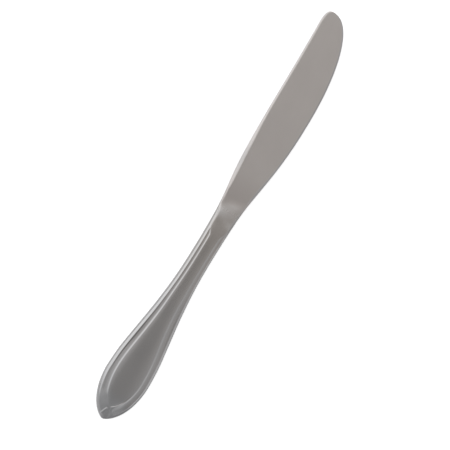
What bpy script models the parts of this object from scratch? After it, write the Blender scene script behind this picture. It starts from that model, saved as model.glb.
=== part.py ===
"""Dessert knife with a hollow handle, lying on its side.

+X runs from the butt of the handle to the blade's tip, +Y is the spine side, +Z is up.
The origin is under the middle of the knife, on the surface that the handle rests on.
Stations along the knife are counted in millimetres from the butt point.
"""

import math

import bmesh
import bpy
import numpy as np

MM = 0.001

# ---------------------------------------------------------------- driving dimensions, millimetres
LENGTH = 205.0  # butt point to blade tip
HALF_THICK = 3.40  # handle, mid plane to the crest of the raised thread
GAP = 0.30  # clearance kept between neighbouring pieces

# Handle outline: a pointed arch at the butt, then a spline of (station, half width).
ARCH_LENGTH = 21.5
ARCH_HALF = 10.43
ARCH_FULLNESS = 0.65  # 0 is two plain circle arcs, 1 is an ellipse
ARCH_POINT, ARCH_POINT_LENGTH = 0.32, 2.5  # the arch is this much less full at its point, and over this length
HANDLE_HALF = [(21.5, 10.43), (30, 10.03), (38, 9.06), (46, 7.91), (54, 6.79), (62, 5.92), (70, 5.27), (78, 4.97), (86, 4.89), (94, 4.95), (104, 5.29)]

# Bolster and blade outline: (station, distance from the handle's axis).
SPINE = [(94, 4.95), (104, 5.29), (110, 5.72), (116, 6.46), (122, 7.30), (128, 7.90), (134, 8.27), (142, 8.59), (152, 8.84), (166, 9.02), (180, 9.20), (190, 9.44), (197, 9.67)]
EDGE = [(94, 4.95), (104, 5.29), (110, 5.71), (116, 6.46), (122, 7.32), (128, 8.15), (134, 8.86), (140, 9.36), (146, 9.67), (151, 9.79), (156, 9.80)]
TIP_HEIGHT = 6.20  # the foremost point lies this far above the handle's axis
TIP_ROUND_FROM = 197.0
BELLY_FROM = 156.0

# Thickness of the neck: convex from NECK_FROM, steepest at NECK_TURN, concave to the blade at HEEL.
NECK_FROM, NECK_TURN, HEEL = 88.0, 109.4, 113.0

# Ground faces of the blade: half thickness on the axis at HEEL, and its fall along and across.
GROUND_HEEL = 0.85
GROUND_ALONG = -0.0046
GROUND_ACROSS = 0.034
BEVEL = 0.8  # width of the cutting bevel
EDGE_HALF = 0.10  # half thickness left at the cutting edge
SIDE_HALF = 0.30  # half height of the square spine below its rounding
STRIP_FROM, STRIP_TO, STRIP_WIDE = 110.0, 148.0, 1.30  # rounded strip along the spine
SPINE_ROUND = 0.55  # rounding of the spine beyond the strip

# Raised border of the handle, measured inwards from the outline.
THREAD = [(0, 3.5), (20, 3.5), (50, 3.5), (65, 2.85), (78, 2.5), (86, 2.4), (92, 2.6), (97.4, 3.1)]
PANEL_FROM = 6.9  # the thread's arch starts here, on the axis
RIM_SHARE, GROOVE_SHARE, RISE_SHARE = 0.46, 0.60, 0.66  # of the thread's offset
RIM_DROP, GROOVE_DROP, FOOT_DROP, CROWN_DROP = 0.28, 0.36, 0.22, 0.05  # below the thread's crest
FOOT = 0.90  # width of the thread's inner slope
BORDER_FADE = (86.0, 97.0)
NOSE_HALF, NOSE_LENGTH = 2.00, 14.0  # half thickness at the butt point, and where it reaches full height
SHOULDER = 2.20  # rounding of the plain neck

# Joints between the pieces.
MOUTH = 97.4  # end of the shells
RING = (97.7, 98.0)  # solder ring
BOLSTER = 98.3  # back face of the bolster
PARTING = 0.45  # shells end this far from the mid plane
WALL = 0.8  # shell wall
CEILING = 1.60  # shell's inner face below the thread's crest
TANG = [(40.0, 1.5, 0.7), (60.0, 2.0, 0.8), (BOLSTER, 2.6, 0.9)]  # station, half width, half thickness
CEMENT = (6.2, 92.0)

ROWS = 30


# ---------------------------------------------------------------- curves
def spline(stations):
    """Natural cubic spline through (x, y) stations."""
    x = np.array([p[0] for p in stations], float)
    y = np.array([p[1] for p in stations], float)
    n = len(x)
    step = np.diff(x)
    system = np.zeros((n, n))
    right = np.zeros(n)
    system[0, 0] = system[-1, -1] = 1.0
    for i in range(1, n - 1):
        system[i, i - 1], system[i, i], system[i, i + 1] = step[i - 1], 2 * (step[i - 1] + step[i]), step[i]
        right[i] = 6 * ((y[i + 1] - y[i]) / step[i] - (y[i] - y[i - 1]) / step[i - 1])
    bend = np.linalg.solve(system, right)

    def value(s):
        s = min(max(s, x[0]), x[-1])
        i = min(max(int(np.searchsorted(x, s)) - 1, 0), n - 2)
        a, b, w = x[i + 1] - s, s - x[i], step[i]
        return float((bend[i] * a**3 + bend[i + 1] * b**3) / (6 * w) + (y[i] / w - bend[i] * w / 6) * a + (y[i + 1] / w - bend[i + 1] * w / 6) * b)

    return value


def clamp(v, low=0.0, high=1.0):
    return min(max(v, low), high)


def ease(v):
    v = clamp(v)
    return v * v * (3 - 2 * v)


def mix(a, b, t):
    return a + (b - a) * t


handle_spline = spline(HANDLE_HALF)
spine_spline = spline(SPINE)
edge_spline = spline(EDGE)
thread_spline = spline(THREAD)
ARCH_RADIUS = (ARCH_LENGTH**2 + ARCH_HALF**2) / (2 * ARCH_HALF)


def handle_half(s):
    """Half width of the handle at a station."""
    if s >= ARCH_LENGTH:
        return handle_spline(s)
    back = ARCH_LENGTH - s
    oval = ARCH_HALF * math.sqrt(max(0.0, 1 - (back / ARCH_LENGTH) ** 2))
    arc = math.sqrt(max(0.0, ARCH_RADIUS**2 - back**2)) - (ARCH_RADIUS - ARCH_HALF)
    return mix(arc, oval, ARCH_FULLNESS * (1 - ARCH_POINT * math.exp(-s / ARCH_POINT_LENGTH)))


def spine_line(s):
    if s <= TIP_ROUND_FROM:
        return spine_spline(s)
    q = clamp((s - TIP_ROUND_FROM) / (LENGTH - TIP_ROUND_FROM))
    return TIP_HEIGHT + (spine_spline(TIP_ROUND_FROM) + 0.02 - TIP_HEIGHT) * (1 - q**4) ** (1 / 3)


def edge_line(s):
    if s <= BELLY_FROM:
        return -edge_spline(s)
    q = clamp((s - BELLY_FROM) / (LENGTH - BELLY_FROM))
    return TIP_HEIGHT - (TIP_HEIGHT + edge_spline(BELLY_FROM)) * (1 - q**2.15) ** (1 / 2.2)


def crest(s):
    """Half thickness of the knife along its axis, mid plane to the highest line."""
    fall = (HALF_THICK - GROUND_HEEL) / ((NECK_TURN - NECK_FROM) / 2 + (HEEL - NECK_TURN) / 2)
    if s < NOSE_LENGTH:
        return HALF_THICK - (HALF_THICK - NOSE_HALF) * (1 - s / NOSE_LENGTH) ** 2
    if s <= NECK_FROM:
        return HALF_THICK
    if s <= NECK_TURN:
        return HALF_THICK - fall * (s - NECK_FROM) ** 2 / (2 * (NECK_TURN - NECK_FROM))
    if s <= HEEL:
        return GROUND_HEEL + fall * (HEEL - s) ** 2 / (2 * (HEEL - NECK_TURN))
    return ground(s, 0.0)


def ground(s, y):
    """Half thickness of the ground blade face, a true plane."""
    return GROUND_HEEL + GROUND_ALONG * (s - HEEL) + GROUND_ACROSS * y


# ---------------------------------------------------------------- handle shells
def outline_rows(count, end):
    """Stations of the cross rows, close together round the butt's point, one of them at the widest place."""
    rows = [end * (0.30 * k / count + 0.70 * (k / count) ** 2) for k in range(count + 1)]
    rows[min(range(count + 1), key=lambda k: abs(rows[k] - ARCH_LENGTH))] = ARCH_LENGTH
    return rows


def inward(s):
    """Unit vector pointing inwards, square to the outline of the +Y side."""
    if s < 0.01:
        return (1.0, 0.0)
    slope = (handle_half(s + 0.005) - handle_half(max(s - 0.005, 0.0))) / (0.005 + min(s, 0.005))
    long = math.hypot(slope, 1.0)
    fade = 1 - ease((s - 30) / 30)
    return (slope / long * fade, -1.0 / long)


def thread_point(s):
    """Crest of the raised thread that belongs to an outline station: an arch at the butt, then a parallel line."""
    offset = thread_spline(s)
    n = inward(s)
    parallel = (s + n[0] * offset, handle_half(s) + n[1] * offset)
    if s >= ARCH_LENGTH - 2:
        return parallel
    meet = ARCH_LENGTH - 2
    n = inward(meet)
    far = (meet + n[0] * thread_spline(meet), handle_half(meet) + n[1] * thread_spline(meet))
    turn = 0.5 * math.pi * (s / meet) ** 0.8
    return (far[0] - (far[0] - PANEL_FROM) * math.cos(turn), far[1] * math.sin(turn))


def border_row(s):
    """One side of a cross row, outline to thread crest: (station, y, z) with z over the mid plane."""
    top = thread_point(s)
    n = inward(s)
    offset = thread_spline(s)
    show = 1 - ease((s - BORDER_FADE[0]) / (BORDER_FADE[1] - BORDER_FADE[0]))
    rim = mix(SHOULDER, RIM_SHARE * offset, show)
    out = []
    rise = crest(s + n[0] * rim) - RIM_DROP * show
    start = math.asin(PARTING / rise)
    for share in (0.0, 0.28, 0.55, 0.80, 1.0):
        angle = mix(start, 0.5 * math.pi, share)
        depth = rim * (1 - math.cos(angle))
        out.append((s + n[0] * depth, handle_half(s) + n[1] * depth, rise * math.sin(angle)))
    reach = math.hypot(top[0] - s, top[1] - handle_half(s))
    groove = max(GROOVE_SHARE * offset, rim + 0.12)
    for depth, lift in ((groove, 0.0), (reach - (1 - RISE_SHARE) * offset * show, 0.02)):
        share = clamp(depth / reach, groove / max(reach, groove + 0.2), 0.97)
        ahead = mix(s, top[0], share)
        out.append((ahead, mix(handle_half(s), top[1], share), crest(ahead) - (GROOVE_DROP - lift) * show))
    return out, top


def shell_rows():
    """Full cross rows of the outer and inner skin, spine side to edge side, front face."""
    outer, inner = [], []
    for s in outline_rows(ROWS, MOUTH):
        side, top = border_row(s)
        show = 1 - ease((top[0] - BORDER_FADE[0]) / (BORDER_FADE[1] - BORDER_FADE[0]))
        height = crest(top[0])
        foot = max(top[1] - FOOT, 0.55 * top[1])
        flat = [(top[0], top[1], height), (top[0], foot, height - FOOT_DROP * show), (top[0], 0.5 * foot, height - (CROWN_DROP + 0.05) * show), (top[0], 0.0, height - CROWN_DROP * show)]
        half = side + flat
        outer.append(half + [(p[0], -p[1], p[2]) for p in half[-2::-1]])
        n = inward(s)
        roof = crest(s + n[0] * (WALL + 1.5)) - CEILING
        start = math.asin(PARTING / roof)
        skin = []
        for i, share in enumerate((0.0, 0.28, 0.55, 0.80, 1.0, 1.0, 1.0)):
            angle = mix(start, 0.5 * math.pi, share)
            depth = WALL + 1.5 * (1 - math.cos(angle)) + 0.25 * max(i - 4, 0)
            skin.append((s + n[0] * depth, handle_half(s) + n[1] * depth, roof * math.sin(angle)))
        base = skin[-1]
        ahead = max(top[0], base[0] + 0.2) if s < 30 else base[0]
        reach = max(min(base[1] - 0.1, top[1]), 0.0)
        skin += [(ahead, share * reach, crest(ahead) - CEILING) for share in (1.0, 0.75, 0.4, 0.0)]
        inner.append(skin + [(p[0], -p[1], p[2]) for p in skin[-2::-1]])
    return outer, inner


def build_shell(name, material, face):
    """A pressed half shell: outer skin, inner skin and the rim that joins them. face is +1 for the front, -1 for the back."""
    outer, inner = shell_rows()
    mesh = bmesh.new()
    grid = {}

    def vertex(skin, k, j):
        rows = outer if skin == 0 else inner
        p = rows[k][j]
        if k == 0:
            j = min(j, len(rows[0]) - 1 - j)  # the first row lies on the axis, so both sides share it
            p = (rows[0][j][0], 0.0, rows[0][j][2])
            if skin == 0 and j > 7:
                j = 7
                p = (rows[0][7][0], 0.0, rows[0][7][2])
            if skin == 1 and j > 7:
                j = 7
                p = (rows[0][7][0], 0.0, rows[0][7][2])
        key = (skin, k, j)
        if key not in grid:
            grid[key] = mesh.verts.new(place(p[0], p[1], face * p[2]))
        return grid[key]

    def quad(*corners):
        unique = []
        for c in corners:
            if c not in unique:
                unique.append(c)
        if len(unique) > 2 and mesh.faces.get(unique) is None:
            mesh.faces.new(unique)

    count = len(outer[0])
    for k in range(len(outer) - 1):
        for j in range(count - 1):
            quad(vertex(0, k, j), vertex(0, k, j + 1), vertex(0, k + 1, j + 1), vertex(0, k + 1, j))
            quad(vertex(1, k, j), vertex(1, k + 1, j), vertex(1, k + 1, j + 1), vertex(1, k, j + 1))
        for j in (0, count - 1):
            quad(vertex(0, k, j), vertex(0, k + 1, j), vertex(1, k + 1, j), vertex(1, k, j))
    last = len(outer) - 1
    for j in range(count - 1):
        quad(vertex(0, last, j), vertex(0, last, j + 1), vertex(1, last, j + 1), vertex(1, last, j))
    return finish(name, mesh, material)


# ---------------------------------------------------------------- lofted pieces
def loft(name, loops, material):
    """Closed solid through rings of equal point counts, with both ends capped."""
    mesh = bmesh.new()
    rings = [[mesh.verts.new(place(*p)) for p in loop] for loop in loops]
    for a, b in zip(rings, rings[1:]):
        for i in range(len(a)):
            j = (i + 1) % len(a)
            mesh.faces.new((a[i], a[j], b[j], b[i]))
    mesh.faces.new(rings[0])
    mesh.faces.new(rings[-1])
    return finish(name, mesh, material)


def ring_of(s, upper):
    """Ring at one station from its upper half, (y, z) from the spine side to the edge side."""
    return [(s, y, z) for y, z in upper] + [(s, y, -z) for y, z in reversed(upper)]


ANGLES = (0.0, 30.0, 60.0, 90.0)


def bar(s, half_spine, half_edge, top, shoulder, side):
    """Upper half of a bar with rounded shoulders."""
    arc = []
    for a in ANGLES:
        turn = math.radians(a)
        arc.append((shoulder * (1 - math.cos(turn)), max(side, top * math.sin(turn))))
    left = [(half_spine - d, z) for d, z in arc]
    right = [(half_edge + d, z) for d, z in reversed(arc)]
    inner = [(mix(left[-1][0], right[0][0], share), top) for share in (0.25, 0.5, 0.75)]
    return left + inner + right


def strip_width(s):
    """Width of the rounded strip along the blade's spine."""
    q = clamp((s - STRIP_FROM) / (STRIP_TO - STRIP_FROM))
    lens = STRIP_WIDE * math.sin(math.pi * q**0.85) ** 1.2
    return max(lens, SPINE_ROUND * ease((s - 104) / 8))


def blade_half(s):
    """Upper half of the bolster and blade section at a station."""
    high, low = spine_line(s), edge_line(s)
    wide = high - low
    bare = bar(s, high, low, crest(s), SHOULDER, 0.15)
    left = min(strip_width(s), 0.4 * wide)
    right = min(BEVEL, 0.3 * wide)
    flat_left, flat_right = high - left, low + right
    ground_left, ground_right = ground(s, flat_left), ground(s, flat_right)
    side = min(SIDE_HALF, 0.6 * ground_left)
    cut = []
    for a in ANGLES:
        turn = math.radians(a)
        cut.append((high - left * (1 - math.cos(turn)), mix(side, ground_left, math.sin(turn))))
    for share in (0.25, 0.5, 0.75):
        y = mix(flat_left, flat_right, share)
        cut.append((y, ground(s, y)))
    for share in (0.0, 0.33, 0.67, 1.0):
        cut.append((flat_right - right * share, mix(ground_right, EDGE_HALF, share)))
    blend = ease((s - 103.0) / (HEEL - 103.0))
    return [(mix(a[0], b[0], blend), mix(a[1], b[1], blend)) for a, b in zip(bare, cut)]


def tang_half(wide, thick):
    """Upper half of the tang's rounded bar, with the same count of points as the blade's sections."""
    side = [(1.0, 0.12), (1.0, 0.62), (0.95, 0.92), (0.84, 1.0)]
    points = side + [(0.42, 1.0), (0.0, 1.0), (-0.42, 1.0)] + [(-y, z) for y, z in reversed(side)]
    return [(y * wide, z * thick) for y, z in points]


def blade_stations():
    bolster = list(np.linspace(BOLSTER, HEEL, 9))
    heel = list(np.linspace(HEEL, 150, 11))[1:]
    body = list(np.linspace(150, 186, 7))[1:]
    tip = [LENGTH - (LENGTH - 186) * (1 - q) ** 2 for q in np.linspace(0, 0.955, 12)][1:]
    return bolster + heel + body + tip


def cement_half(s, shrink):
    """Upper half of the cement filling."""
    slope = (handle_half(s + 0.05) - handle_half(s - 0.05)) / 0.1
    half = handle_half(s) - shrink * math.hypot(1, slope)
    top = crest(s) - CEILING - GAP
    shoulder = min(1.7, 0.8 * half)
    return bar(s, half, -half, top, shoulder, 0.2)


# ---------------------------------------------------------------- scene helpers
def place(s, y, z):
    """Station coordinates to metres: origin under the middle, mid plane lifted by the handle's half thickness."""
    return ((s - LENGTH / 2) * MM, y * MM, (z + HALF_THICK) * MM)


def finish(name, mesh, material):
    bmesh.ops.remove_doubles(mesh, verts=mesh.verts, dist=1e-7)
    bmesh.ops.recalc_face_normals(mesh, faces=mesh.faces)
    data = bpy.data.meshes.new(name)
    mesh.to_mesh(data)
    mesh.free()
    data.materials.append(material)
    data.shade_smooth()
    data.set_sharp_from_angle(angle=math.radians(35))
    thing = bpy.data.objects.new(name, data)
    bpy.context.scene.collection.objects.link(thing)
    thing.parent = knife
    return thing


def metal(name, colour, roughness, metallic=1.0):
    material = bpy.data.materials.new(name)
    material.use_nodes = True
    shader = material.node_tree.nodes["Principled BSDF"]
    shader.inputs["Base Color"].default_value = (*colour, 1.0)
    shader.inputs["Roughness"].default_value = roughness
    shader.inputs["Metallic"].default_value = metallic
    return material


# ---------------------------------------------------------------- the knife
for old in list(bpy.data.objects):
    bpy.data.objects.remove(old, do_unlink=True)

knife = bpy.data.objects.new("dessert_knife", None)
bpy.context.scene.collection.objects.link(knife)

blade_steel = metal("blade_steel", (0.56, 0.55, 0.53), 0.38)
handle_steel = metal("handle_steel", (0.58, 0.57, 0.56), 0.24)
braze_alloy = metal("braze_alloy", (0.62, 0.61, 0.58), 0.35)
cement_fill = metal("cement_fill", (0.46, 0.43, 0.39), 0.9, 0.0)

tang = spline([(s, w) for s, w, _ in TANG]), spline([(s, t) for s, _, t in TANG])
loops = [ring_of(s, tang_half(tang[0](s), tang[1](s))) for s in np.linspace(TANG[0][0], BOLSTER, 7)]
loops += [ring_of(s, blade_half(s)) for s in blade_stations()]
loft("blade", loops, blade_steel)

build_shell("handle_front_shell", handle_steel, 1)
build_shell("handle_back_shell", handle_steel, -1)

# Braze line between the shells: a thin band that follows the outline, open at the mouth.
band = [(s, inward(s)) for s in outline_rows(ROWS, MOUTH)]
outer_edge = [(s, handle_half(s)) for s, n in band]
inner_edge = [(s + n[0] * WALL, handle_half(s) + n[1] * WALL) for s, n in band]
outer_edge[0], inner_edge[0] = (0.0, 0.0), (WALL, 0.0)
path = [(s, y) for s, y in reversed(outer_edge)] + [(s, -y) for s, y in outer_edge[1:]]
back = [(s, y) for s, y in reversed(inner_edge)] + [(s, -y) for s, y in inner_edge[1:]]
thin = GAP / 2
loft("handle_seam_braze", [[(a[0], a[1], thin), (b[0], b[1], thin), (b[0], b[1], -thin), (a[0], a[1], -thin)] for a, b in zip(path, back)], braze_alloy)

# Solder ring at the mouth: outside flush with the neck, inside clear of the tang.
def ring_edge(s, shrink):
    half = handle_half(s) - shrink
    return ring_of(s, bar(s, half, -half, crest(s) - shrink, SHOULDER - 0.5 * shrink, 0.15))


outside = [ring_edge(s, 0.0) for s in RING]
inside = [ring_edge(s, WALL) for s in reversed(RING)]
mesh = bmesh.new()
rings = [[mesh.verts.new(place(*p)) for p in loop] for loop in outside + inside]
for a, b in zip(rings, rings[1:] + rings[:1]):
    for i in range(len(a)):
        j = (i + 1) % len(a)
        mesh.faces.new((a[i], a[j], b[j], b[i]))
finish("mouth_braze", mesh, braze_alloy)

# Cement: fills the shells, with a blind slot for the tang that opens at the mouth.
first, end = CEMENT
shrink = WALL + GAP
loops = [ring_of(s, cement_half(s, shrink)) for s in [first + (end - first) * (0.35 * q + 0.65 * q * q) for q in np.linspace(0, 1, 20)]]
slot = [s for s in np.linspace(end, TANG[0][0] - GAP, 7)]
loops += [ring_of(s, tang_half(tang[0](max(s, TANG[0][0])) + GAP, tang[1](max(s, TANG[0][0])) + GAP)) for s in slot]
loft("tang_cement", loops, cement_fill)
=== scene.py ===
"""Looks of the dessert knife: fine surfaces of the handle and blade, their metals, the light and the camera.

Stations along the knife are counted in millimetres from the butt point, as in the construction:
+X runs to the blade's tip, +Y is the spine side, +Z is up.
"""

import math

import bpy
import numpy as np
from mathutils import Matrix, Vector


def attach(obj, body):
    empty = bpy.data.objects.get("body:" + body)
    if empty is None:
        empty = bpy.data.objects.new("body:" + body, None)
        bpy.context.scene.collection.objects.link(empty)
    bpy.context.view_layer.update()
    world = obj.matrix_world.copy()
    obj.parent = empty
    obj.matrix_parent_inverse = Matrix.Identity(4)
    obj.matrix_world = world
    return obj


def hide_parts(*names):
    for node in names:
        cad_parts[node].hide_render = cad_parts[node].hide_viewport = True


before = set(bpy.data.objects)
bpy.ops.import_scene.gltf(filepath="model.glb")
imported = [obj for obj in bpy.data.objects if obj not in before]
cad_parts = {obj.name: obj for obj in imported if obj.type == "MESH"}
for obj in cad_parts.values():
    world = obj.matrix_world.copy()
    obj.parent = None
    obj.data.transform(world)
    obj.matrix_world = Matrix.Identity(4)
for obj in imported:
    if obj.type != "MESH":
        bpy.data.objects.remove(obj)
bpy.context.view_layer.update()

MM = 0.001

# ---------------------------------------------------------------- dimensions shared with the construction, millimetres
LENGTH = 205.0
HALF_THICK = 3.40
ARCH_LENGTH, ARCH_HALF, ARCH_FULLNESS = 21.5, 10.43, 0.65
ARCH_POINT, ARCH_POINT_LENGTH = 0.32, 2.5
HANDLE_HALF = [(21.5, 10.43), (30, 10.03), (38, 9.06), (46, 7.91), (54, 6.79), (62, 5.92), (70, 5.27), (78, 4.97), (86, 4.89), (94, 4.95), (104, 5.29)]
SPINE = [(94, 4.95), (104, 5.29), (110, 5.72), (116, 6.46), (122, 7.30), (128, 7.90), (134, 8.27), (142, 8.59), (152, 8.84), (166, 9.02), (180, 9.20), (190, 9.44), (197, 9.67)]
EDGE = [(94, 4.95), (104, 5.29), (110, 5.71), (116, 6.46), (122, 7.32), (128, 8.15), (134, 8.86), (140, 9.36), (146, 9.67), (151, 9.79), (156, 9.80)]
TIP_HEIGHT, TIP_ROUND_FROM, BELLY_FROM = 6.20, 197.0, 156.0
NECK_FROM, NECK_TURN, HEEL = 88.0, 109.4, 113.0
NECK_SLANT, NECK_TWIST = 0.16, 0.05  # the hollow before the blade lies this much askew
GROUND_HEEL, GROUND_ALONG, GROUND_ACROSS = 0.85, -0.0046, 0.034
NOSE_HALF, NOSE_LENGTH = 2.00, 14.0
WALL, CEILING = 0.8, 1.60

# ---------------------------------------------------------------- fine shape of the handle
PANEL_SPINE = [(0, 3.7), (20, 3.74), (37, 3.72), (46, 3.58), (54, 3.29), (65, 2.74), (78, 2.60), (93, 2.58)]  # from the outline to the panel's raised edge, spine side
PANEL_EDGE = [(0, 3.5), (20, 3.42), (30, 3.46), (38, 3.65), (46, 3.85), (54, 3.65), (62, 3.15), (70, 2.72), (78, 2.5), (93, 2.4)]  # and edge side
SWEEP = (93.0, 96.8)  # the panel's edge swings out to the rim here
PLAIN_EDGE, PLAIN_RIM, PLAIN_GROWS = 1.55, 1.53, 0.47  # the plain neck's shoulders, which widen towards the blade
PANEL_FROM = 6.6  # the panel's arch starts here, on the axis
PANEL_ARCH_TO, PANEL_ARCH_SPINE, PANEL_ARCH_EDGE = 22.0, 0.40, 0.60  # where the arch ends, and how full it is on the two sides
PANEL_FLAT_SPINE = (18.0, 8.0, 0.27)  # the spine side of the arch runs flatter here: station, reach and depth
RIM, RIM_FULLER, RIM_GROWS = 0.75, 0.18, 0.10  # width of the rounded rim, what the spine side adds, and its growth with the border
RIM_DEG = 20.0  # slope at the rim's inner end
BORDER_DEG = [(0.0, 20.0), (0.08, 4.0), (0.15, -3.0), (0.24, 0.0), (0.36, 5.5), (0.50, 7.8), (0.65, 9.0), (0.80, 11.4), (0.92, 16.5), (1.0, 19.0)]  # slopes from the rim through the groove to the panel's edge
NARROW_DEG = [(0.0, 20.0), (0.08, 4.0), (0.15, -3.0), (0.22, 0.5), (0.30, 7.0), (0.40, 9.3), (0.50, 9.6), (0.65, 9.8), (0.80, 11.4), (0.92, 16.5), (1.0, 19.0)]  # with a narrower groove, towards the butt
SOFT_DEG = [(0.0, 20.0), (0.08, 12.5), (0.15, 9.5), (0.24, 8.4), (0.36, 8.6), (0.50, 9.4), (0.65, 10.4), (0.80, 12.0), (0.92, 16.5), (1.0, 19.0)]  # the same where the groove dies away
BUTT_SPINE_DEG = [(0.0, 20.0), (0.08, 13.0), (0.15, 10.5), (0.24, 9.5), (0.36, 9.0), (0.50, 8.5), (0.65, 8.0), (0.80, 7.5), (0.92, 7.0), (1.0, 6.5)]  # round the butt, spine side
BUTT_EDGE_DEG = [(0.0, 20.0), (0.08, 6.0), (0.15, 1.5), (0.24, 2.8), (0.36, 5.2), (0.50, 7.3), (0.65, 9.0), (0.80, 10.8), (0.92, 13.8), (1.0, 15.2)]  # round the butt, edge side
BUTT_SPINE, BUTT_EDGE = (9.0, 14.0), (8.2, 15.6)  # those slopes give way between these stations
GROOVE_AT = 0.24  # the groove's place between the rim and the panel's edge
GROOVE_SPINE = [(8, 0.0), (15, 0.10), (20, 0.20), (24, 0.42), (30, 0.74), (38, 0.92), (46, 0.82), (54, 0.66), (65, 0.58), (80, 0.58), (98, 0.58)]  # its depth along the spine side
GROOVE_EDGE = [(8, 0.0), (12, 0.08), (15, 0.28), (22, 0.14), (38, 0.10), (48, 0.34), (56, 0.45), (65, 0.12), (78, 0.05), (98, 0.15)]  # and along the edge side
LINE_EDGE, LINE_FLOOR_DEG = [(12, 1.0), (15, 0.68), (20, 0.68), (27, 0.96), (36, 1.0), (44, 0.85), (56, 0.6), (66, 0.4), (75, 0.45), (84, 0.9), (93, 1.0)], 10.5  # how much of the panel's raised edge stands along the edge side, and the slope left without it
STEP_FADE = 0.45  # the edge's slope dies away into the panel over this width
INNER_DEG = 24.0  # fall just inside the panel's edge, round the butt
CROWN_DEG = [(0, 9.0), (12, 9.0), (22, 10.5), (38, 11.0), (54, 11.5), (70, 11.5), (88, 10.5), (97, 8.0), (104, 7.0), (112, 5.5)]
CROWN_POWER = 1.4
LEAF_SPINE, LEAF_SPINE_HEIGHT = ((5.6, 0.75), (2.1, 2.05)), 0.20  # fine ridges at the butt
LEAF_EDGE, LEAF_EDGE_HEIGHT = ((6.0, 1.70), (2.9, 2.10)), 0.06
SEAM = 0.05  # the shells end this far from the mid plane
MOUTH, BOLSTER = 97.7, 98.0  # the solder ring lies between
ROWS, BORDER_COLUMNS, PANEL_COLUMNS = 250, 44, 24

# ---------------------------------------------------------------- fine shape of the blade
BEVEL, BEVEL_HEEL, EDGE_HALF, SIDE_HALF = 0.8, 0.30, 0.06, 0.30
STRIP = [(109.4, 0.0), (111, 0.55), (113, 0.97), (116, 1.30), (119, 1.49), (124, 1.64), (130, 1.70), (136, 1.72), (142, 1.54), (148, 1.34), (155, 1.18), (162, 1.05), (168, 1.0)]  # width of the sloping strip by the spine
STRIP_SOFT = (126.0, 136.0)  # past here it turns softly into the flat
SPINE_ROUND = 1.18


# ---------------------------------------------------------------- curves
def spline(stations):
    """Natural cubic spline through (x, y) stations, for arrays."""
    x = np.array([p[0] for p in stations], float)
    y = np.array([p[1] for p in stations], float)
    n, step = len(x), np.diff(x)
    system, right = np.eye(n), np.zeros(n)
    for i in range(1, n - 1):
        system[i, i - 1 : i + 2] = step[i - 1], 2 * (step[i - 1] + step[i]), step[i]
        right[i] = 6 * ((y[i + 1] - y[i]) / step[i] - (y[i] - y[i - 1]) / step[i - 1])
    bend = np.linalg.solve(system, right)

    def value(s):
        s = np.clip(np.asarray(s, float), x[0], x[-1])
        i = np.clip(np.searchsorted(x, s) - 1, 0, n - 2)
        a, b, w = x[i + 1] - s, s - x[i], step[i]
        return (bend[i] * a**3 + bend[i + 1] * b**3) / (6 * w) + (y[i] / w - bend[i] * w / 6) * a + (y[i + 1] / w - bend[i + 1] * w / 6) * b

    return value


def ease(v):
    v = np.clip(v, 0.0, 1.0)
    return v * v * v * (v * (6 * v - 15) + 10)


def mix(a, b, t):
    return a + (b - a) * t


def bell(v, middle, half):
    """Smooth bump of height 1, zero beyond half either side of the middle."""
    q = np.clip(np.abs((v - middle) / half), 0, 1)
    return (1 - q * q) ** 2


handle_spline, spine_spline, edge_spline = spline(HANDLE_HALF), spline(SPINE), spline(EDGE)
panel_spine, panel_edge, crown_spline, border_spline = spline(PANEL_SPINE), spline(PANEL_EDGE), spline(CROWN_DEG), spline(BORDER_DEG)
soft_spline, groove_spine, groove_edge = spline(SOFT_DEG), spline(GROOVE_SPINE), spline(GROOVE_EDGE)
line_edge, narrow_spline = spline(LINE_EDGE), spline(NARROW_DEG)
butt_spine, butt_edge, strip_spline = spline(BUTT_SPINE_DEG), spline(BUTT_EDGE_DEG), spline(STRIP)
ARCH_RADIUS = (ARCH_LENGTH**2 + ARCH_HALF**2) / (2 * ARCH_HALF)


def handle_half(s):
    s = np.asarray(s, float)
    back = ARCH_LENGTH - np.clip(s, 0, ARCH_LENGTH)
    oval = ARCH_HALF * np.sqrt(np.maximum(0.0, 1 - (back / ARCH_LENGTH) ** 2))
    arc = np.sqrt(np.maximum(0.0, ARCH_RADIUS**2 - back**2)) - (ARCH_RADIUS - ARCH_HALF)
    full = ARCH_FULLNESS * (1 - ARCH_POINT * np.exp(-s / ARCH_POINT_LENGTH))
    return np.where(s >= ARCH_LENGTH, handle_spline(s), mix(arc, oval, full))


def spine_line(s):
    q = np.clip((s - TIP_ROUND_FROM) / (LENGTH - TIP_ROUND_FROM), 0, 1)
    end = TIP_HEIGHT + (spine_spline(TIP_ROUND_FROM) + 0.02 - TIP_HEIGHT) * (1 - q**4) ** (1 / 3)
    return np.where(s <= TIP_ROUND_FROM, spine_spline(s), end)


def edge_line(s):
    q = np.clip((s - BELLY_FROM) / (LENGTH - BELLY_FROM), 0, 1)
    end = TIP_HEIGHT - (TIP_HEIGHT + edge_spline(BELLY_FROM)) * (1 - q**2.15) ** (1 / 2.2)
    return np.where(s <= BELLY_FROM, -edge_spline(s), end)


def ground(s, y):
    return GROUND_HEEL + GROUND_ALONG * (s - HEEL) + GROUND_ACROSS * y


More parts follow.
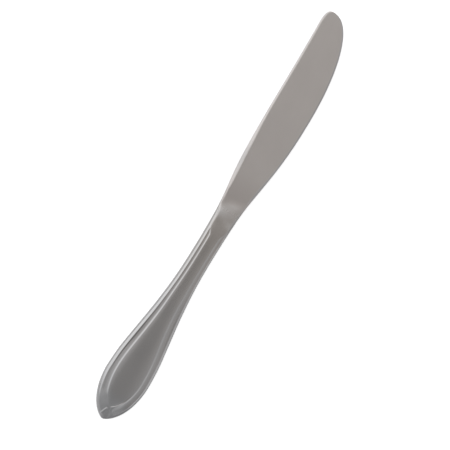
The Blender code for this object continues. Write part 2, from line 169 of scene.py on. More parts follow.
def crest(s):
    """Half thickness of the knife along its axis."""
    s = np.asarray(s, float)
    fall = (HALF_THICK - GROUND_HEEL) / ((HEEL - NECK_FROM) / 2)
    out = np.full(s.shape, HALF_THICK)
    out = np.where(s < NOSE_LENGTH, HALF_THICK - (HALF_THICK - NOSE_HALF) * (1 - s / NOSE_LENGTH) ** 2, out)
    out = np.where(s > NECK_FROM, HALF_THICK - fall * (s - NECK_FROM) ** 2 / (2 * (NECK_TURN - NECK_FROM)), out)
    out = np.where(s > NECK_TURN, GROUND_HEEL + fall * (HEEL - s) ** 2 / (2 * (HEEL - NECK_TURN)), out)
    return np.where(s > HEEL, ground(s, 0.0), out)


def edge_offset(s, side=1):
    return mix((panel_spine if side > 0 else panel_edge)(s), PLAIN_EDGE, ease((s - SWEEP[0]) / (SWEEP[1] - SWEEP[0])))


def plain_rim(s):
    return PLAIN_RIM + PLAIN_GROWS * ease((s - 96.0) / 10.0)


def inward(s):
    """Unit vectors pointing inwards, square to the outline of the +Y side."""
    low = np.maximum(s - 0.004, 0.0)
    slope = (handle_half(s + 0.004) - handle_half(low)) / (s + 0.004 - low)
    long = np.hypot(slope, 1.0)
    fade = 1 - ease((s - 30) / 30)
    ahead, across = slope / long * fade, -1.0 / long
    first = s < 0.01
    return np.where(first, 1.0, ahead), np.where(first, 0.0, across)


def panel_point(s, side=1):
    """The panel's edge that belongs to an outline station: an arch at the butt, then a parallel line."""
    offset, (nx, ny) = edge_offset(s, side), inward(s)
    along, across = s + nx * offset, handle_half(s) + ny * offset
    meet = np.array(PANEL_ARCH_TO)
    mx, my = inward(meet)
    far_x, far_y = meet + mx * edge_offset(meet, side), handle_half(meet) + my * edge_offset(meet, side)
    turn = 0.5 * math.pi * (np.clip(s, 0, meet) / meet) ** 0.8
    back = (far_x - PANEL_FROM) * np.cos(turn)
    radius = ((far_x - PANEL_FROM) ** 2 + far_y**2) / (2 * far_y)
    arc = np.sqrt(radius**2 - back**2) - (radius - far_y)
    arch = s < meet
    out_x, out_y = np.where(arch, far_x - back, along), np.where(arch, mix(arc, far_y * np.sin(turn), PANEL_ARCH_SPINE if side > 0 else PANEL_ARCH_EDGE), across)
    station, length, depth = PANEL_FLAT_SPINE
    return out_x, out_y - (depth * bell(out_x, station, length) if side > 0 else 0.0)


# ---------------------------------------------------------------- mesh helpers
def place(points):
    return np.stack([(points[:, 0] - LENGTH / 2) * MM, points[:, 1] * MM, (points[:, 2] + HALF_THICK) * MM], 1)


def make_piece(name, points, faces, material, node, marks=None):
    """One closed mesh that stands for a node of the frame. marks are values kept per point for its material."""
    mesh = bpy.data.meshes.new(name)
    mesh.from_pydata([tuple(p) for p in place(points)], [], [tuple(f)[::-1] for f in faces])
    for key, values in (marks or {}).items():
        mesh.attributes.new(key, "FLOAT", "POINT").data.foreach_set("value", np.asarray(values, np.float32))
    mesh.materials.append(material)
    mesh.validate()
    mesh.shade_smooth()
    mesh.set_sharp_from_angle(angle=math.radians(50))
    thing = bpy.data.objects.new(name, mesh)
    bpy.context.scene.collection.objects.link(thing)
    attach(thing, "root")
    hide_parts(node)
    return thing


def weld(points, faces):
    """Points at the same place made one, and the faces that collapsed dropped."""
    _, first, index = np.unique(np.round(points, 5), axis=0, return_index=True, return_inverse=True)
    index = index.reshape(-1)
    out = []
    for face in faces:
        kept = []
        for corner in index[list(face)]:
            if corner not in kept:
                kept.append(int(corner))
        if len(kept) > 2:
            out.append(kept)
    return first, out


# ---------------------------------------------------------------- handle
def tangent(degrees):
    return np.tan(np.radians(degrees))


def rim_curve(width, height, degrees, turns, knee=0.80, wall=0.0):
    """Rounded rim from the mid plane, or the top of an upright wall, to its inner end: depths and heights, one row per width."""
    q = np.linspace(0, 1, turns + 1)[None, :]
    width, height, degrees = (np.asarray(v, float).reshape(-1, 1) for v in (width, height, degrees))
    back, drop = 0.62 * width * np.cos(np.radians(degrees)), 0.62 * width * np.sin(np.radians(degrees))
    depth = 3 * (1 - q) * q**2 * (width - back) + q**3 * width
    rise = (1 - q) ** 3 * wall * height + 3 * (1 - q) ** 2 * q * knee * height + 3 * (1 - q) * q**2 * (height - drop) + q**3 * height
    return depth, rise


def shell_skin(rows, side):
    """Outer skin of the front face for outline stations: arrays rows x columns of station, y and z over the mid plane,
    rim to axis, with the marks for the painted shade in the groove and the painted highlight on the crests. side is 1
    for the spine side, -1 for the edge side.
    """
    turns = 18
    spine_share = 0.5 + 0.5 * side * (ease((rows - 0.25) / 1.3) if side > 0 else ease((rows - 0.5) / 2.2))  # the two sides share one row on the axis
    offset = mix(edge_offset(rows, -1), edge_offset(rows, 1), spine_share)
    top_x, top_y = panel_point(rows, side)
    half = handle_half(rows)
    reach = np.hypot(top_x - rows, top_y - half)
    show = 1 - ease((rows - (SWEEP[0] + 1.4)) / (SWEEP[1] - SWEEP[0] - 0.9))
    fuller = RIM_FULLER * ease((rows - 7.0) / 8.0) * spine_share
    rim = np.minimum(mix(plain_rim(rows), RIM + fuller + RIM_GROWS * offset, show), 0.97 * offset)
    crown_deg = crown_spline(rows)
    # columns: over the rim, then steps to the panel's edge, then steps to the axis
    over = rim_curve(rim, np.ones_like(rim), mix(crown_deg, RIM_DEG, show), turns)[0]
    rest = np.linspace(0, 1, BORDER_COLUMNS - turns + 1)[1:][None, :]
    border = np.concatenate([over, mix(rim[:, None], reach[:, None], rest)], 1)
    share = border / reach[:, None]
    x, y = mix(rows[:, None], top_x[:, None], share), mix(half[:, None], top_y[:, None], share)
    steps = np.linspace(0, 1, PANEL_COLUMNS + 1)[1:]
    steps = (0.35 * steps + 0.65 * steps**2)[None, :]
    x = np.concatenate([x, np.repeat(top_x[:, None], PANEL_COLUMNS, 1)], 1)
    y = np.concatenate([y, top_y[:, None] * (1 - steps)], 1)
    depth = np.concatenate([border, reach[:, None] + top_y[:, None] * steps], 1)
    # slopes past the rim, summed into heights
    o, r, e, fade = offset[:, None], rim[:, None], reach[:, None], show[:, None]
    gap = np.maximum(o - r, 0.25)
    into = e - depth  # distance still to go to the panel's edge, negative on the panel
    crown = tangent(crown_spline(x)) * np.clip(np.abs(y) / np.maximum(top_y[:, None], 0.5), 0, 1) ** CROWN_POWER * ease(top_y[:, None] / 3.0)
    past = ease(-into / STEP_FADE)
    deep = np.clip((groove_spine if side > 0 else groove_edge)(x), 0, 1)
    end_from, end_to = BUTT_SPINE if side > 0 else BUTT_EDGE
    at_butt = 1 - ease((x - end_from) / (end_to - end_from))
    near, far = np.clip((depth - r) / gap, 0, GROOVE_AT), np.clip(1 - into / gap, GROOVE_AT, 1)
    grooved, narrow, soft, end_spine, end_edge = (tangent(curve(near)) + tangent(curve(far)) - tangent(curve(GROOVE_AT)) for curve in (border_spline, narrow_spline, soft_spline, butt_spine, butt_edge))
    grooved = mix(narrow, grooved, ease((x - 32.0) / 9.0))
    bend = mix(mix(soft, grooved, deep), mix(end_edge, end_spine, spine_share[:, None]), at_butt)
    if side < 0:
        bend = mix(np.minimum(bend, tangent(LINE_FLOOR_DEG)), bend, np.where(x < 12, 1.0, np.clip(line_edge(x), 0, 1)))
    slope = fade * bend * (1 - past) + crown * mix(1.0, past, fade)
    butt = (1 - ease((x - 9) / 8)) * (1 - spine_share[:, None])
    slope -= tangent(INNER_DEG) * bell(into, -0.45, 0.36) * butt * fade
    slope[:, :turns] = 0.0
    run = np.diff(depth, axis=1)
    rise = np.concatenate([np.zeros((len(rows), 1)), np.cumsum(0.5 * (slope[:, 1:] + slope[:, :-1]) * run, 1)], 1)
    rise[:, : turns + 1] = 0.0
    rise[:, turns + 1 :] -= 0.5 * (slope[:, turns - 1 : turns]) * run[:, turns - 1 : turns]
    lift = rise - rise[:, -1:]
    z = crest(x) + lift
    z[:, : turns + 1] = rim_curve(rim, z[:, turns], mix(crown_deg, RIM_DEG, show), turns)[1]
    # mask for painted shade: the handle's colour is darkened along the groove, where shade falls in the recess
    groove = bell((depth - r) / gap, 0.18, 0.20) * fade * deep * bell(x, 37, 22)
    # mask for the crests: lower roughness for their polish, and a lighter colour there that is a painted highlight
    ridge_polish_and_highlight = bell(into, 0.0, 0.55) * fade + bell(depth, 0.75 * r, 0.5 * r)
    return x, y, tip_leaf(x, y, z, side), groove, np.clip(ridge_polish_and_highlight, 0, 1)


def shell_inside(rows, columns):
    """Inner skin for the same rows and count of columns."""
    (nx, ny), half = inward(rows), handle_half(rows)
    top_x, top_y = panel_point(rows)
    roof = crest(rows + nx * (WALL + 1.5)) - CEILING
    turns = columns // 2
    angle = np.linspace(0, 0.5 * math.pi, turns + 1)[None, :]
    depth = WALL + 1.5 * (1 - np.cos(angle)) + 0 * rows[:, None]
    x, y = rows[:, None] + nx[:, None] * depth, half[:, None] + ny[:, None] * depth
    z = roof[:, None] * np.sin(angle)
    base_x, base_y = x[:, -1], y[:, -1]
    ahead = np.where(rows < 30, np.maximum(top_x, base_x + 0.2), base_x)
    reach = np.maximum(np.minimum(base_y - 0.1, top_y), 0.0)
    left = columns - turns - 1
    share = 1 - np.linspace(0, 1, left)[None, :]
    x = np.concatenate([x, np.repeat(ahead[:, None], left, 1)], 1)
    y = np.concatenate([y, reach[:, None] * share], 1)
    z = np.concatenate([z, np.repeat((crest(ahead) - CEILING)[:, None], left, 1)], 1)
    return x, y, z


def tip_leaf(x, y, z, side):
    """Small end facet at the butt between two fine ridges that run from the axis out to the rim."""
    (start, end), height = (LEAF_SPINE, LEAF_SPINE_HEIGHT) if side > 0 else (LEAF_EDGE, LEAF_EDGE_HEIGHT)
    start, end = np.array(start), np.array(end)
    length = np.linalg.norm(end - start)
    along = (end - start) / length
    px, py = x - start[0], y - start[1]
    run, off = px * along[0] + py * along[1], -px * along[1] + py * along[0]
    return z + height * np.exp(-((off / 0.36) ** 2)) * ease((run + 0.4) / 0.9) * ease((length + 0.4 - run) / 0.9) * ease(y / 0.3)


def build_shell(name, material, face, node):
    rows = MOUTH * np.array([0.30 * k / ROWS + 0.70 * (k / ROWS) ** 2 for k in range(ROWS + 1)])
    spine_side, edge_side = shell_skin(rows, 1), shell_skin(rows, -1)
    inside = shell_inside(rows, spine_side[0].shape[1])

    def full(left, right):
        """Both sides of the rows, spine side to edge side."""
        (x, y, z), (u, v, w) = (tuple(np.array(part) for part in skin[:3]) for skin in (left, right))
        y[0], v[0] = 0.0, 0.0
        z, w = np.maximum(z, SEAM), np.maximum(w, SEAM)
        return np.stack([np.concatenate([x, u[:, -2::-1]], 1), np.concatenate([y, -v[:, -2::-1]], 1), face * np.concatenate([z, w[:, -2::-1]], 1)], 2)

    outer, inner = full(spine_side, edge_side), full(inside, inside)
    wide = outer.shape[1]
    count = len(rows) * wide
    index = np.arange(count).reshape(len(rows), wide)
    faces = []
    a, b, c, d = index[:-1, :-1], index[:-1, 1:], index[1:, 1:], index[1:, :-1]
    order = (a, d, c, b) if face > 0 else (a, b, c, d)
    faces += list(np.stack([q.ravel() for q in order], 1))
    faces += list(np.stack([q.ravel() + count for q in (order[0], order[3], order[2], order[1])], 1))
    for j in (0, wide - 1):
        k0, k1 = index[:-1, j], index[1:, j]
        ring = (k0, k0 + count, k1 + count, k1)
        if (j == 0) != (face > 0):
            ring = ring[::-1]
        faces += list(np.stack(ring, 1))
    j0, j1 = index[-1, :-1], index[-1, 1:]
    ring = (j0, j0 + count, j1 + count, j1)
    if face < 0:
        ring = ring[::-1]
    faces += list(np.stack(ring, 1))
    points = np.concatenate([outer.reshape(-1, 3), inner.reshape(-1, 3)])
    both = lambda m: np.concatenate([np.concatenate([spine_side[m], edge_side[m][:, -2::-1]], 1).ravel(), np.zeros(count)])
    # the groove mark carries painted shade, the ridge mark polish and a painted highlight
    marks = {"groove": both(3), "ridge_polish_and_highlight": both(4)}
    first, faces = weld(points, faces)
    return make_piece(name, points[first], faces, material, node, {k: v[first] for k, v in marks.items()})


# ---------------------------------------------------------------- neck and blade sections
LEFT, MIDDLE, RIGHT = 18, 44, 14


def slanted(s, y):
    """Change of height where the neck's hollow runs askew: it starts later and ends sooner on the spine side."""
    y = np.asarray(y, float)
    leave = mix(ease((s - 104.0) / 9.0), ease((s - 103.0) / 6.0), ease((y + 1.5) / 3.0))
    return crest(s + NECK_SLANT * float(ease((s - 99.0) / 7.0)) * y) - crest(s) + NECK_TWIST * y * float(ease((s - 98.0) / 5.5)) * (1 - leave)


def neck_section(s, half_spine, half_edge):
    """Upper half of the plain neck: rounded shoulders and a crowned top."""
    top, crown, rim = float(crest(s)), float(crown_spline(s)), float(plain_rim(s))
    ground_share = float(ease((s - 105.0) / 8.5))

    def height(y, half):
        """Height at a distance from the axis, falling towards the shoulders as the handle's panel does."""
        wide, off = half - rim - 0.1, np.abs(y)
        fall = math.tan(math.radians(crown)) * np.where(off < wide, wide * (off / wide) ** (CROWN_POWER + 1) / (CROWN_POWER + 1), off - wide * CROWN_POWER / (CROWN_POWER + 1))
        return top + slanted(s, y) - mix(fall, -GROUND_ACROSS * y, ground_share)

    left_d, left_z = (v[0] for v in rim_curve(rim, height(half_spine - rim, half_spine), crown, LEFT, mix(0.80, 0.97, float(ease((s - 105.6) / 4.2))), 0.5 * float(ease((s - 104.9) / 4.8))))
    right_d, right_z = (v[0, ::-1] for v in rim_curve(rim, height(half_edge + rim, -half_edge), crown, RIGHT))
    left_y, right_y = half_spine - left_d, half_edge + right_d
    mid_y = np.linspace(left_y[-1], right_y[0], MIDDLE + 1)[1:-1]
    mid_z = np.where(mid_y > 0, height(mid_y, half_spine), height(mid_y, -half_edge))
    return np.concatenate([left_y, mid_y, right_y]), np.concatenate([left_z, mid_z, right_z])


def strip_width(s):
    """Width of the sloping strip along the blade's spine, a slim lens."""
    return np.maximum(strip_spline(s), SPINE_ROUND * ease((s - 105.5) / 8.8))


def blade_section(s, high, low):
    """Upper half of the ground blade: a strip by the spine, the flat, and the cutting bevel."""
    wide = high - low
    left, right = min(float(strip_width(s)), 0.4 * wide), min(BEVEL + BEVEL_HEEL * (1 - float(ease((s - 122) / 8))), 0.3 * wide)
    flat_left, flat_right = high - left, low + right
    def face(y):
        """Height of the ground face, following the hollow up to the neck."""
        return ground(s, y) + (float(crest(s)) - ground(s, 0.0)) + slanted(s, y)

    ground_left, ground_right = float(face(flat_left)), float(face(flat_right))
    side = min(SIDE_HALF, 0.6 * ground_left)
    lens = np.clip((left - SPINE_ROUND) / 0.5, 0, 1)
    turn = np.linspace(0, 0.5 * math.pi, LEFT + 1)
    round_y, round_z = high - left * (1 - np.cos(turn)), mix(side, ground_left, np.sin(turn))
    q = np.linspace(0, 1, LEFT + 1)
    flat_y = high - left * q**1.2
    flat_z = mix(side, ground_left, 1 - (1 - q**1.2) ** mix(1.12, 1.5, float(ease((s - STRIP_SOFT[0]) / (STRIP_SOFT[1] - STRIP_SOFT[0])))))
    left_y, left_z = mix(round_y, flat_y, lens), mix(round_z, flat_z, lens)
    mid_y = np.linspace(flat_left, flat_right, MIDDLE + 1)[1:-1]
    share = np.linspace(0, 1, RIGHT + 1)
    right_y, right_z = flat_right - right * share, mix(ground_right, EDGE_HALF, share**1.15)
    return np.concatenate([left_y, mid_y, right_y]), np.concatenate([left_z, face(mid_y), right_z])


def section(s):
    high, low = float(spine_line(s)), float(edge_line(s))
    blend = float(ease((s - 107.5) / 7.0))
    cut_y, cut_z = blade_section(s, high, low)
    if blend >= 1:
        return cut_y, cut_z
    bar_y, bar_z = neck_section(s, high, low)
    return mix(bar_y, cut_y, blend), mix(bar_z, cut_z, blend)


def loft(stations):
    """Closed rings at the stations, both ends capped, as points, faces and marks."""
    rings = []
    for s in stations:
        y, z = section(s)
        y, z = np.concatenate([y, y[::-1]]), np.concatenate([np.maximum(z, 0.03), -np.maximum(z[::-1], 0.03)])
        rings.append(np.stack([np.full(len(y), s), y, z], 1))
    wide = len(rings[0])
    points = np.concatenate(rings)
    upper = np.clip((np.arange(wide // 2) - (LEFT + MIDDLE)) / 2, 0, 1)
    # mask for painted shade: the cutting bevel is darkened in colour
    bevel = np.concatenate([np.concatenate([upper, upper[::-1]]) * ease((s - 111) / 8) for s in stations])
    upper = 1 - np.clip((np.arange(wide // 2) - (LEFT - 3)) / 3, 0, 1)
    strip = np.concatenate([np.concatenate([upper, upper[::-1]]) * ease((s - 117) / 14) * (1 - ease((s - 128) / 14)) for s in stations])
    faces = []
    for k in range(len(rings) - 1):
        for i in range(wide):
            j = (i + 1) % wide
            faces.append((k * wide + i, (k + 1) * wide + i, (k + 1) * wide + j, k * wide + j))
    for base, flip in ((0, False), ((len(rings) - 1) * wide, True)):
        half = wide // 2
        for i in range(half - 1):
            quad = [base + i, base + i + 1, base + wide - 2 - i, base + wide - 1 - i]
            faces.append(quad[::-1] if flip else quad)
    return points, faces, {"bevel": bevel, "strip": strip}


def blade_stations():
    neck = list(np.linspace(BOLSTER, 116, 74))
    body = list(np.linspace(116, 186, 90))[1:]
    tip = [LENGTH - 19.0 * (1 - q) ** 2 for q in np.linspace(0, 0.95, 60)][1:]
    return neck + body + tip


# ---------------------------------------------------------------- materials
class Nodes:
    """Short hand for building a node material."""

    def __init__(self, name):
        self.material = bpy.data.materials.new(name)
        self.material.use_nodes = True
        self.tree = self.material.node_tree
        self.shader = self.tree.nodes["Principled BSDF"]

    def node(self, kind, **inputs):
        made = self.tree.nodes.new(kind)
        for key, value in inputs.items():
            socket = made.inputs[int(key[1:])] if key[0] == "_" and key[1:].isdigit() else made.inputs[key.replace("_", " ")]
            if isinstance(value, bpy.types.NodeSocket):
                self.tree.links.new(value, socket)
            else:
                socket.default_value = value
        return made

    def scaled(self, x, y, z):
        where = self.node("ShaderNodeTexCoord").outputs["Object"]
        return self.node("ShaderNodeMapping", Vector=where, Scale=(x, y, z)).outputs[0]

    def noise(self, scale, detail=4.0, rough=0.55):
        return self.node("ShaderNodeTexNoise", Vector=self.scaled(*scale), Scale=1.0, Detail=detail, Roughness=rough).outputs["Fac"]

    def ramp(self, value, low, high, out_low=0.0, out_high=1.0):
        made = self.node("ShaderNodeMapRange", Value=value)
        for key, v in (("From Min", low), ("From Max", high), ("To Min", out_low), ("To Max", out_high)):
            made.inputs[key].default_value = v
        return made.outputs[0]

    def math(self, kind, a, b):
        made = self.node("ShaderNodeMath", _0=a, _1=b)
        made.operation = kind
        return made.outputs[0]

    def blend(self, share, a, b):
        made = self.tree.nodes.new("ShaderNodeMix")
        made.data_type = "RGBA"
        for socket, value in ((made.inputs[0], share), (made.inputs[6], a), (made.inputs[7], b)):
            if isinstance(value, bpy.types.NodeSocket):
                self.tree.links.new(value, socket)
            else:
                socket.default_value = value
        return made.outputs[2]

    def between(self, share, a, b):
        return self.node("ShaderNodeMix", _0=share, _2=a, _3=b).outputs[0]

    def mark(self, name):
        made = self.node("ShaderNodeAttribute")
        made.attribute_name = name
        return made.outputs["Fac"]

    def surface(self, colour, roughness, bump=None, strength=0.1, distance=0.0001):
        self.tree.links.new(colour, self.shader.inputs["Base Color"])
        self.tree.links.new(roughness, self.shader.inputs["Roughness"])
        if bump is not None:
            made = self.node("ShaderNodeBump", Strength=strength, Distance=distance, Height=bump)
            self.tree.links.new(made.outputs[0], self.shader.inputs["Normal"])
        return self.material


def handle_finish(n):
    """Soft polish with fine scratches along the knife: colour, roughness and height."""
    cloud = n.noise((70, 110, 110), 3.0)
    grain = n.noise((260, 9000, 9000), 3.0, 0.6)
    streak = n.noise((45, 2200, 2200), 2.0, 0.5)
    along = n.node("ShaderNodeSeparateXYZ", Vector=n.node("ShaderNodeTexCoord").outputs["Object"]).outputs["X"]
    tone = n.ramp(cloud, 0.3, 0.7)
    colour = n.blend(n.ramp(along, -45 * MM, -15 * MM), n.blend(tone, (0.590, 0.581, 0.573, 1), (0.622, 0.611, 0.601, 1)), n.blend(tone, (0.596, 0.576, 0.552, 1), (0.628, 0.606, 0.580, 1)))
    rough = n.math("ADD", n.ramp(grain, 0.25, 0.75, 0.19, 0.25), n.ramp(streak, 0.3, 0.7, -0.012, 0.022))
    return colour, rough, n.math("ADD", n.math("MULTIPLY", grain, 0.5), streak)


def handle_metal():
    n = Nodes("handle_satin_steel")
    n.shader.inputs["Metallic"].default_value = 1.0
    colour, rough, height = handle_finish(n)
    groove, ridge_polish_and_highlight = n.mark("groove"), n.mark("ridge_polish_and_highlight")
    # painted shade: the colour darkens along the groove, which is also made a little rougher
    colour = n.blend(n.math("MULTIPLY", groove, 0.90), colour, (0.30, 0.29, 0.28, 1))
    # painted highlight: the crests' colour is lightened; their lower roughness is the polish
    colour = n.blend(n.math("MULTIPLY", ridge_polish_and_highlight, 0.30), colour, (0.66, 0.65, 0.64, 1))
    rough = n.math("ADD", rough, n.math("MULTIPLY", groove, 0.05))
    rough = n.math("SUBTRACT", rough, n.math("MULTIPLY", ridge_polish_and_highlight, 0.035))
    return n.surface(colour, rough, height, 0.06, 0.00003)


def blade_metal():
    """The handle's finish on the bolster, giving way to the blade's satin grind past it."""
    n = Nodes("blade_satin_steel")
    n.shader.inputs["Metallic"].default_value = 1.0
    cloud = n.noise((55, 80, 80), 3.0)
    grain = n.noise((320, 7500, 7500), 4.0, 0.6)
    cross = n.noise((5200, 420, 420), 3.0, 0.6)
    along = n.node("ShaderNodeSeparateXYZ", Vector=n.node("ShaderNodeTexCoord").outputs["Object"]).outputs["X"]
    share = n.ramp(along, 2.0 * MM, 9.5 * MM)
    near_colour, near_rough, near_height = handle_finish(n)
    colour = n.blend(n.ramp(cloud, 0.3, 0.7), (0.715, 0.676, 0.642, 1), (0.750, 0.710, 0.676, 1))
    rough = n.math("ADD", n.ramp(grain, 0.25, 0.75, 0.36, 0.42), n.ramp(cross, 0.3, 0.7, -0.02, 0.02))
    colour = n.blend(n.ramp(along, 9.5 * MM, 23.0 * MM), (0.650, 0.607, 0.575, 1), colour)
    # painted shade: the cutting bevel's colour is darkened, deepening the dark line its slope gives
    colour = n.blend(n.math("MULTIPLY", n.mark("bevel"), 0.75), colour, (0.53, 0.525, 0.52, 1))
    colour = n.blend(n.math("MULTIPLY", n.mark("strip"), 0.66), colour, (0.60, 0.585, 0.565, 1))
    height = n.math("ADD", grain, n.math("MULTIPLY", cross, 0.5))
    return n.surface(n.blend(share, near_colour, colour), n.between(share, near_rough, rough), n.between(share, near_height, height), 0.05, 0.00003)


def braze_metal():
    n = Nodes("braze_alloy")
    n.shader.inputs["Metallic"].default_value = 1.0
    colour, rough, height = handle_finish(n)
    spots = n.noise((900, 900, 900), 3.0)
    colour = n.blend(n.ramp(spots, 0.45, 0.75, 0.0, 0.20), colour, (0.56, 0.545, 0.52, 1))
    return n.surface(colour, n.math("ADD", rough, n.ramp(spots, 0.45, 0.75, 0.0, 0.03)), height, 0.06, 0.00003)


def cement_stone():
    n = Nodes("cement_fill")
    grit, cloud = n.noise((2200, 2200, 2200), 5.0, 0.65), n.noise((240, 240, 240), 3.0)
    colour = n.blend(n.ramp(grit, 0.3, 0.7), (0.40, 0.37, 0.33, 1), (0.52, 0.49, 0.45, 1))
    colour = n.blend(n.ramp(cloud, 0.35, 0.7, 0.0, 0.5), colour, (0.44, 0.40, 0.35, 1))
    return n.surface(colour, n.ramp(grit, 0.3, 0.7, 0.85, 0.97), grit, 0.5, 0.0002)


# ---------------------------------------------------------------- pieces
handle_steel, blade_steel, braze_alloy = handle_metal(), blade_metal(), braze_metal()

build_shell("handle_front", handle_steel, 1, "handle_front_shell")
build_shell("handle_back", handle_steel, -1, "handle_back_shell")

points, faces, marks = loft(blade_stations())
make_piece("blade_and_bolster", points, faces, blade_steel, "blade", marks)

# Solder ring: a band flush with the neck.
outside, inside = [], []
for s in np.linspace(MOUTH, BOLSTER, 5):
    y, z = section(s)
    y, z = np.concatenate([y, y[::-1]]), np.concatenate([np.maximum(z, 0.03), -np.maximum(z[::-1], 0.03)])
    outside.append(np.stack([np.full(len(y), s), y, z], 1))
    inside.append(np.stack([np.full(len(y), s), y * 0.82, z * 0.72], 1))
rings = outside + inside[::-1]
wide, points = len(rings[0]), np.concatenate(rings)
faces = [(k * wide + i, ((k + 1) % len(rings)) * wide + i, ((k + 1) % len(rings)) * wide + (i + 1) % wide, k * wide + (i + 1) % wide) for k in range(len(rings)) for i in range(wide)]
make_piece("mouth_solder", points, faces, braze_alloy, "mouth_braze")

# Braze line between the shells, flush with the outline.
rows = MOUTH * np.array([0.30 * k / ROWS + 0.70 * (k / ROWS) ** 2 for k in range(ROWS + 1)])
nx, ny = inward(rows)
half = handle_half(rows)
loop = []
for depth, z in ((0.004, SEAM), (WALL, SEAM), (WALL, -SEAM), (0.004, -SEAM)):
    x, y = rows + nx * depth, half + ny * depth
    y[0] = 0.0
    loop.append(np.stack([np.concatenate([x[::-1], x[1:]]), np.concatenate([y[::-1], -y[1:]]), np.full(2 * len(x) - 1, z)], 1))
long = len(loop[0])
points = np.concatenate(loop)
faces = [(((j + 1) % 4) * long + k, ((j + 1) % 4) * long + k + 1, j * long + k + 1, j * long + k) for j in range(4) for k in range(long - 1)]
faces += [(3 * long, 2 * long, long, 0), (long - 1, 2 * long - 1, 3 * long - 1, 4 * long - 1)]
make_piece("seam_braze", points, faces, braze_alloy, "handle_seam_braze")

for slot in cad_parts["tang_cement"].material_slots:
    slot.material = cement_stone()

# ---------------------------------------------------------------- floor, backdrop and light
def plain(name, colour, glow):
    n = Nodes(name)
    tone = n.blend(n.ramp(n.noise((3, 3, 3), 2.0), 0.3, 0.7), (colour, colour, colour, 1), (colour * 0.99, colour * 0.99, colour * 0.99, 1))
    n.tree.links.new(tone, n.shader.inputs["Base Color"])
    n.shader.inputs["Roughness"].default_value = 0.9
    n.shader.inputs["Specular IOR Level"].default_value = 0.0
    n.shader.inputs["Emission Color"].default_value = (1, 1, 1, 1)
    n.shader.inputs["Emission Strength"].default_value = glow
    return n.material


def sheet(name, height, material):
    mesh = bpy.data.meshes.new(name)
    mesh.from_pydata([(-4, -4, height), (4, -4, height), (4, 4, height), (-4, 4, height)], [], [(0, 1, 2, 3)])
    mesh.materials.append(material)
    thing = bpy.data.objects.new(name, mesh)
    bpy.context.scene.collection.objects.link(thing)
    return thing


# The floor that shows is near white. The metal mirrors a greyer table under it, which glows more towards the spine
# side: painted light, seen only in reflections.
floor = sheet("floor", 0.0, plain("floor_white", 0.85, 0.72))
floor.visible_glossy = floor.visible_diffuse = floor.visible_shadow = False
table_with_painted_light = Nodes("table_with_painted_light")
table_with_painted_light.shader.inputs["Base Color"].default_value = (0.76, 0.76, 0.76, 1)
table_with_painted_light.shader.inputs["Roughness"].default_value = 0.9
table_with_painted_light.shader.inputs["Specular IOR Level"].default_value = 0.0
across = table_with_painted_light.node("ShaderNodeSeparateXYZ", Vector=table_with_painted_light.node("ShaderNodeTexCoord").outputs["Object"]).outputs["Y"]
# painted light: the table's glow grows from the edge side to the spine side, as if a lamp lit it from there
table_with_painted_light.tree.links.new(table_with_painted_light.ramp(across, -4 * MM, 6 * MM, 0.0, 0.16), table_with_painted_light.shader.inputs["Emission Strength"])
table_with_painted_light.shader.inputs["Emission Color"].default_value = (1, 1, 1, 1)
table = sheet("table", -0.0004, table_with_painted_light.material)
table.visible_camera = table.visible_shadow = False

# A white backdrop closes the view over the floor. It gives no light of its own to the knife.
rings, around = 12, 48
points = [(3.8 * math.cos(0.5 * math.pi * k / rings) * math.cos(2 * math.pi * i / around), 3.8 * math.cos(0.5 * math.pi * k / rings) * math.sin(2 * math.pi * i / around), 3.8 * math.sin(0.5 * math.pi * k / rings) - 0.0002) for k in range(rings) for i in range(around)]
points.append((0, 0, 3.8))
faces = [(k * around + (i + 1) % around, k * around + i, (k + 1) * around + i, (k + 1) * around + (i + 1) % around) for k in range(rings - 1) for i in range(around)]
faces += [((rings - 1) * around + (i + 1) % around, (rings - 1) * around + i, rings * around) for i in range(around)]
mesh = bpy.data.meshes.new("backdrop")
mesh.from_pydata(points, [], faces)
mesh.materials.append(plain("backdrop_white", 0.0, 1.0))
backdrop = bpy.data.objects.new("backdrop", mesh)
bpy.context.scene.collection.objects.link(backdrop)
backdrop.visible_glossy = backdrop.visible_diffuse = backdrop.visible_shadow = backdrop.visible_transmission = False

world = bpy.data.worlds.new("studio")
bpy.context.scene.world = world
world.use_nodes = True
tree = world.node_tree
sky = tree.nodes["Background"]
axes = tree.nodes.new("ShaderNodeTexCoord")


def soft_side(direction, start, end, amount, base=0.0):
    """Light that grows smoothly towards one side of the studio."""
    toward = tree.nodes.new("ShaderNodeVectorMath")
    toward.operation = "DOT_PRODUCT"
    tree.links.new(axes.outputs["Generated"], toward.inputs[0])
    toward.inputs[1].default_value = Vector(direction).normalized()
    made = tree.nodes.new("ShaderNodeMapRange")
    made.interpolation_type = "SMOOTHSTEP"
    tree.links.new(toward.outputs["Value"], made.inputs["Value"])
    for key, v in (("From Min", start), ("From Max", end), ("To Min", base), ("To Max", base + amount)):
        made.inputs[key].default_value = v
    return made.outputs[0]


def joined(kind, a, b):
    made = tree.nodes.new("ShaderNodeMath")
    made.operation = kind
    tree.links.new(a, made.inputs[0])
    tree.links.new(b, made.inputs[1])
    return made.outputs[0]


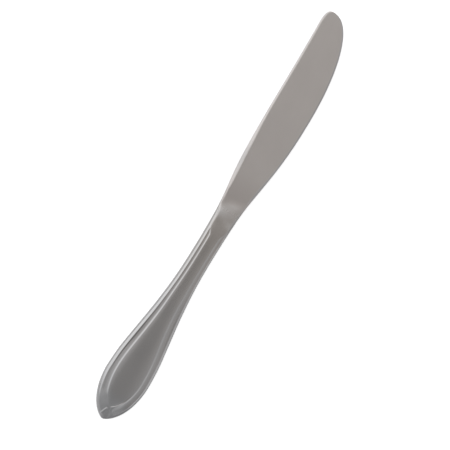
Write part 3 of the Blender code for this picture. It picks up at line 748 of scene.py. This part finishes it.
SPINE_WAY, EDGE_WAY, TIP_WAY, BUTT_WAY = (0, 1, 0), (0, -1, 0), (1, 0, 0), (-1, 0, 0)
total = soft_side(EDGE_WAY, 0.80, 0.98, -0.04, 0.262)
for parts in (
    (soft_side(SPINE_WAY, 0.03, 0.58, 0.75), soft_side(TIP_WAY, -0.44, -0.14, 1.0)),
    (soft_side(SPINE_WAY, 0.12, 0.36, 0.13), soft_side(SPINE_WAY, 0.52, 0.72, -1.0, 1.0), soft_side(TIP_WAY, -0.52, -0.40, 1.0), soft_side(TIP_WAY, -0.34, -0.22, -1.0, 1.0)),
    (soft_side((0.99, -0.12, 0), 0.18, 0.54, 0.40), soft_side(SPINE_WAY, -0.92, -0.10, 0.85, 0.15)),
    (soft_side((0.88, -0.475, 0), -0.014, 0.127, 0.18), soft_side(TIP_WAY, -0.01, 0.05, -1.0, 1.0), soft_side(TIP_WAY, -0.045, -0.015, 0.25, 0.75), soft_side(EDGE_WAY, 0.78, 0.95, -0.3, 1.0)),
    (soft_side(EDGE_WAY, 0.45, 0.64, 0.20), soft_side(EDGE_WAY, 0.65, 0.83, -1.0, 1.0), soft_side(TIP_WAY, -0.16, -0.08, -1.0, 1.0), soft_side(TIP_WAY, -0.36, -0.18, 1.0)),
    (soft_side(EDGE_WAY, 0.70, 0.90, -0.13), soft_side(TIP_WAY, -0.145, -0.12, -1.0, 1.0)),
    (soft_side(EDGE_WAY, 0.25, 0.65, 0.105), soft_side(TIP_WAY, -0.05, 0.0, 1.0)),
    (soft_side(EDGE_WAY, 0.75, 0.95, -0.14), soft_side(TIP_WAY, 0.0, 0.06, 1.0)),
    (soft_side(SPINE_WAY, 0.66, 0.88, -0.22), soft_side(TIP_WAY, -0.12, 0.015, -1.0, 1.0)),
    (soft_side(SPINE_WAY, 0.30, 0.48, 0.13), soft_side(SPINE_WAY, 0.55, 0.75, -1.0, 1.0), soft_side(TIP_WAY, -0.06, -0.01, 1.0), soft_side(TIP_WAY, 0.10, 0.22, -1.0, 1.0)),
    (soft_side(SPINE_WAY, 0.42, 0.74, -0.48), soft_side(TIP_WAY, 0.19, 0.27, 1.0)),
    (soft_side(TIP_WAY, -0.12, -0.06, 0.016),),
    (soft_side(TIP_WAY, 0.015, 0.08, 0.064),),
    (soft_side(BUTT_WAY, 0.22, 0.42, 0.13), soft_side(SPINE_WAY, -0.70, -0.45, 1.0)),
    (soft_side(BUTT_WAY, 0.42, 0.56, -0.09), soft_side(SPINE_WAY, -0.70, -0.45, 1.0)),
    (soft_side((-0.75, -0.66, 0), 0.47, 0.66, 0.32), soft_side((-0.75, -0.66, 0), 0.73, 0.85, -1.0, 1.0), soft_side(TIP_WAY, -0.62, -0.42, 1.0)),
    (soft_side((-0.707, 0.707, 0), 0.38, 0.90, 0.28),),
):
    term = parts[0]
    for part in parts[1:]:
        term = joined("MULTIPLY", term, part)
    total = joined("ADD", total, term)
tree.links.new(total, sky.inputs["Strength"])
warm = soft_side(TIP_WAY, -0.30, 0.05, 1.0)
for term in (soft_side(SPINE_WAY, 0.10, 0.50, -0.90, 1.0), soft_side(EDGE_WAY, 0.35, 0.60, -0.75, 1.0), soft_side(TIP_WAY, 0.26, 0.40, -0.85, 1.0)):
    warm = joined("MULTIPLY", warm, term)
tint = tree.nodes.new("ShaderNodeMix")
tint.data_type = "RGBA"
tree.links.new(warm, tint.inputs[0])
tint.inputs[6].default_value, tint.inputs[7].default_value = (0.952, 0.968, 1.0, 1), (1.0, 0.942, 0.908, 1)
tree.links.new(tint.outputs[2], sky.inputs["Color"])

# ---------------------------------------------------------------- camera
LENS, SENSOR = 100.0, 36.0
TURN_DEG, TILT_DEG = 58.443, 7.0
SPAN = 197.68 * MM  # width of the picture at the knife
MIDDLE_PX = (223.60, 218.82)  # where the middle of the knife's axis falls in the 450 x 450 frame

turn, tilt = math.radians(TURN_DEG), math.radians(TILT_DEG)
lean = Matrix.Rotation(-tilt, 3, "X")
right = lean @ Vector((math.cos(turn), -math.sin(turn), 0))
up = lean @ Vector((math.sin(turn), math.cos(turn), 0))
back = lean @ Vector((0, 0, 1))
pixel = SPAN / 450
aim = Vector((0, 0, HALF_THICK * MM)) - right * ((MIDDLE_PX[0] - 224.5) * pixel) + up * ((MIDDLE_PX[1] - 224.5) * pixel)
camera_data = bpy.data.cameras.new("camera")
camera_data.lens, camera_data.sensor_width = LENS, SENSOR
camera_data.clip_start, camera_data.clip_end = 0.01, 20.0
camera = bpy.data.objects.new("camera", camera_data)
bpy.context.scene.collection.objects.link(camera)
pose = Matrix((right, up, back)).transposed().to_4x4()
pose.translation = aim + back * (SPAN * LENS / SENSOR)
camera.matrix_world = pose
bpy.context.scene.camera = camera
bpy.context.scene.view_settings.view_transform = "Standard"

bpy.context.view_layer.update()
